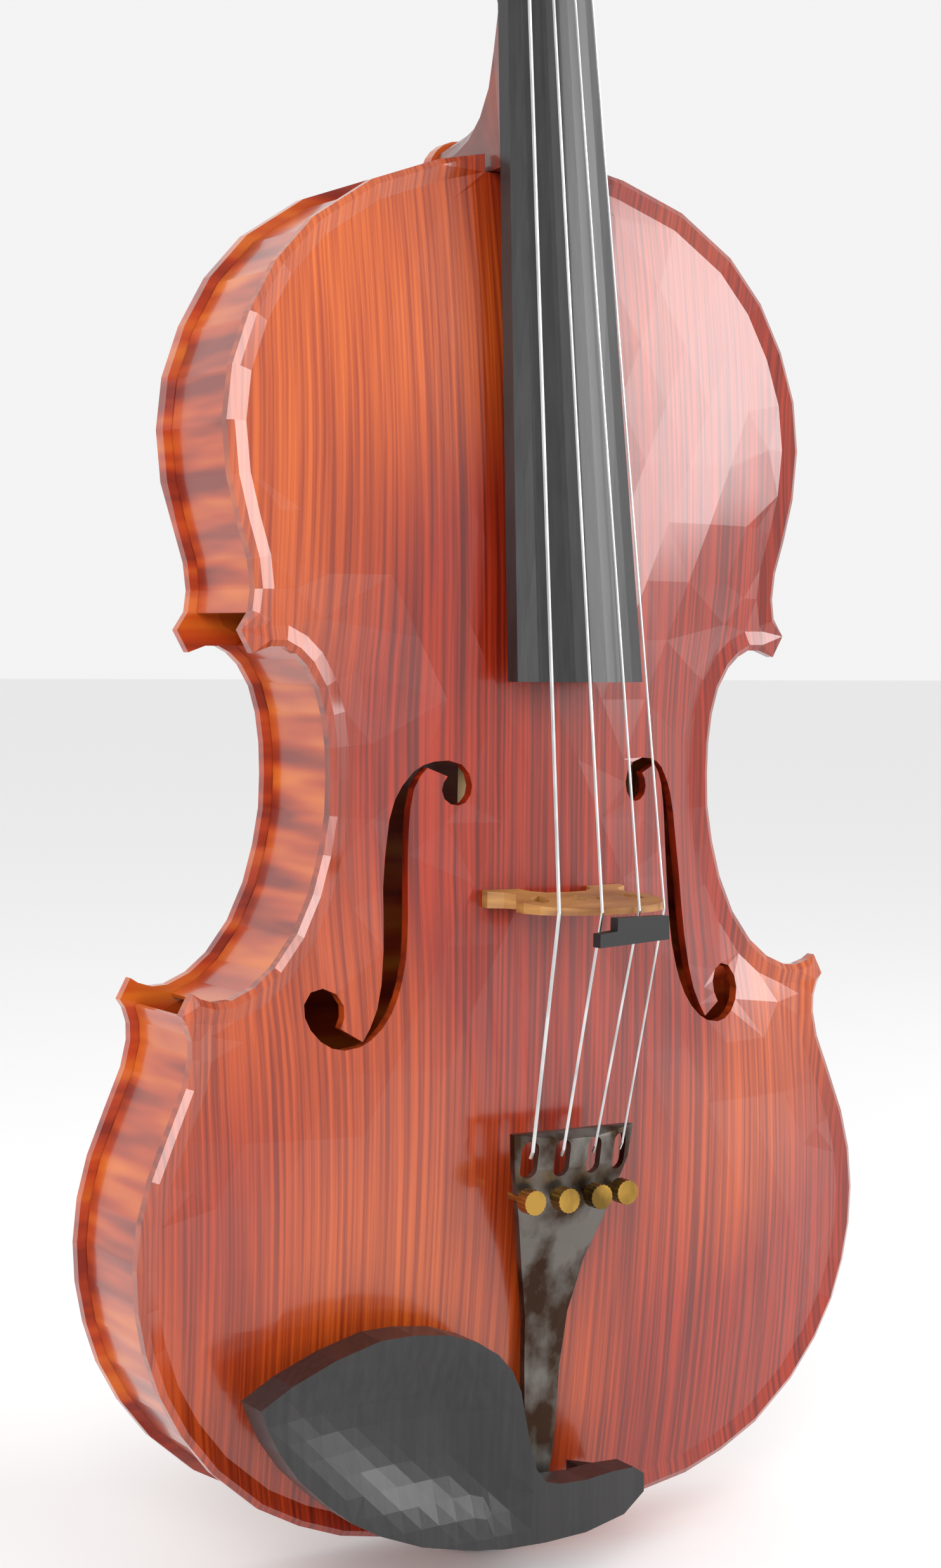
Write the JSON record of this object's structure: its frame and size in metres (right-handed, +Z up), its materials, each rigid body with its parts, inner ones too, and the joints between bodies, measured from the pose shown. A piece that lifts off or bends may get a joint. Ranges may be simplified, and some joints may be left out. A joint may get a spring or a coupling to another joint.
{
  "type": "viola",
  "caption": "Viola with red varnish, dark fittings, metal tailpiece with fine tuners, chin rest and a practice mute behind the bridge.",
  "frame": {"origin": "the throat under the scroll, where a wall hanger's yoke takes the neck", "axes": "+Z up towards the scroll, +X to the treble side, front faces -Y"},
  "size_m": [0.248, 0.1113, 0.6594],
  "materials": {
    "spruce": "gloss",
    "maple": "gloss",
    "bare_wood": "matte",
    "neck_maple": "satin",
    "ebony": "satin",
    "bridge_maple": "satin",
    "steel": "satin",
    "worn_alloy": "worn satin",
    "brass": "satin",
    "rubber": "matte",
    "gut": "matte"
  },
  "bodies": {
    "instrument": {"top_plate": "spruce", "back_plate": "maple", "upper_rib_treble": "maple", "upper_rib_bass": "maple", "centre_rib_treble": "maple", "centre_rib_bass": "maple", "lower_rib_treble": "maple", "lower_rib_bass": "maple", "upper_lining_front_treble": "bare_wood", "upper_lining_front_bass": "bare_wood", "upper_lining_back_treble": "bare_wood", "upper_lining_back_bass": "bare_wood", "centre_lining_front_treble": "bare_wood", "centre_lining_front_bass": "bare_wood", "centre_lining_back_treble": "bare_wood", "centre_lining_back_bass": "bare_wood", "lower_lining_front_treble": "bare_wood", "lower_lining_front_bass": "bare_wood", "lower_lining_back_treble": "bare_wood", "lower_lining_back_bass": "bare_wood", "upper_block": "bare_wood", "lower_block": "bare_wood", "sound_post": "bare_wood", "bass_bar": "bare_wood", "neck": "neck_maple", "fingerboard": "ebony", "nut": "ebony", "saddle": "ebony", "end_button": "ebony", "chin_rest": "ebony", "bridge": "bridge_maple", "string_c": "steel", "string_g": "steel", "string_d": "steel", "string_a": "steel", "tailpiece": "worn_alloy", "tailgut": "gut"},
    "peg_c": {"peg_c": "ebony"},
    "peg_g": {"peg_g": "ebony"},
    "peg_d": {"peg_d": "ebony"},
    "peg_a": {"peg_a": "ebony"},
    "tuner_c": {"tuner_c": "brass"},
    "tuner_g": {"tuner_g": "brass"},
    "tuner_d": {"tuner_d": "brass"},
    "tuner_a": {"tuner_a": "brass"},
    "mute": {"practice_mute": "rubber"}
  },
  "joints": [
    {"name": "peg_c_turn", "type": "hinge", "parent": "instrument", "child": "peg_c", "pos_m": [0, 0.00294, -0.05911], "axis": [1, 0, 0], "continuous": true},
    {"name": "peg_g_turn", "type": "hinge", "parent": "instrument", "child": "peg_g", "pos_m": [0, 0.01068, -0.03174], "axis": [1, 0, 0], "continuous": true},
    {"name": "peg_d_turn", "type": "hinge", "parent": "instrument", "child": "peg_d", "pos_m": [0, 0.01455, -0.01805], "axis": [1, 0, 0], "continuous": true},
    {"name": "peg_a_turn", "type": "hinge", "parent": "instrument", "child": "peg_a", "pos_m": [0, 0.00681, -0.04542], "axis": [1, 0, 0], "continuous": true},
    {"name": "tuner_c_turn", "type": "hinge", "parent": "instrument", "child": "tuner_c", "pos_m": [-0.01576, -0.04221, -0.509], "axis": [0, 1, 0], "range_deg": [0, 1440]},
    {"name": "tuner_g_turn", "type": "hinge", "parent": "instrument", "child": "tuner_g", "pos_m": [-0.00556, -0.04408, -0.509], "axis": [0, 1, 0], "range_deg": [0, 1440]},
    {"name": "tuner_d_turn", "type": "hinge", "parent": "instrument", "child": "tuner_d", "pos_m": [0.00556, -0.04408, -0.509], "axis": [0, 1, 0], "range_deg": [0, 1440]},
    {"name": "tuner_a_turn", "type": "hinge", "parent": "instrument", "child": "tuner_a", "pos_m": [0.01576, -0.04221, -0.509], "axis": [0, 1, 0], "range_deg": [0, 1440]},
    {"name": "mute_slide", "type": "slide", "parent": "instrument", "child": "mute", "axis": [0, 0.262, -0.9651], "range_m": [0, 0.04]}
  ]
}
